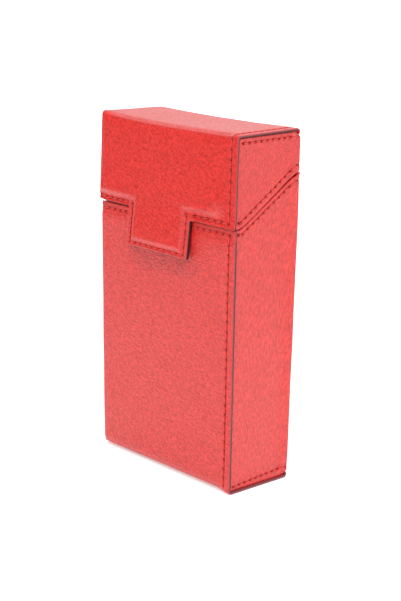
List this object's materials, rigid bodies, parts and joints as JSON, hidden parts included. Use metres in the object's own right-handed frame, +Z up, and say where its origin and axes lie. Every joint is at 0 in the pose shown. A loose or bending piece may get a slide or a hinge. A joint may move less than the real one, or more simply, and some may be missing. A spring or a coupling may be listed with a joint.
{
  "type": "cigarette case",
  "caption": "Flip-top leather case for a pack of long cigarettes: stiffened body, hinged lid with an overlapping closing tongue, stitched seams and painted edges.",
  "frame": {"origin": "middle of the flat base, on the surface that the case stands on", "axes": "+Z up towards the lid, the front with the tongue faces -Y, +X to the right seen from the front"},
  "size_m": [0.0616, 0.0273, 0.108],
  "materials": {
    "leather": "semi-matte, fine pebbled grain",
    "thread": "waxed polyester sewing thread",
    "lining": "matte ribbed lining cloth",
    "board": "grey bookbinding board",
    "steel": "nickel-plated",
    "edge_paint": "satin painted leather edge"
  },
  "bodies": {
    "case_body": {"body_wrap": "leather", "body_right_gusset": "leather", "body_left_gusset": "leather", "front_board": "board", "back_board": "board", "bottom_board": "board", "right_board": "board", "left_board": "board", "body_lining": "lining", "right_lining": "lining", "left_lining": "lining", "keeper_plate": "steel", "front_hem_thread": "thread", "front_seam_thread": "thread", "bottom_seam_thread": "thread", "back_seam_thread": "thread", "right_gusset_thread": "thread", "left_gusset_thread": "thread", "hinge_strip": "leather", "hinge_lining": "lining"},
    "lid": {"lid_wrap": "leather", "tongue_backing": "leather", "tongue_board": "board", "tongue_magnet": "steel", "lid_right_gusset": "leather", "lid_left_gusset": "leather", "lid_front_board": "board", "lid_top_board": "board", "lid_back_board": "board", "lid_right_board": "board", "lid_left_board": "board", "lid_lining": "lining", "lid_right_lining": "lining", "lid_left_lining": "lining", "lid_front_thread": "thread", "lid_top_thread": "thread", "lid_back_thread": "thread", "lid_right_gusset_thread": "thread", "lid_left_gusset_thread": "thread"}
  },
  "joints": [
    {"name": "lid_hinge", "type": "hinge", "parent": "case_body", "child": "lid", "pos_m": [0, 0.01265, 0.0953], "axis": [-1, 0, 0], "range_deg": [0, 130], "deforming": ["hinge_strip", "hinge_lining"]}
  ]
}
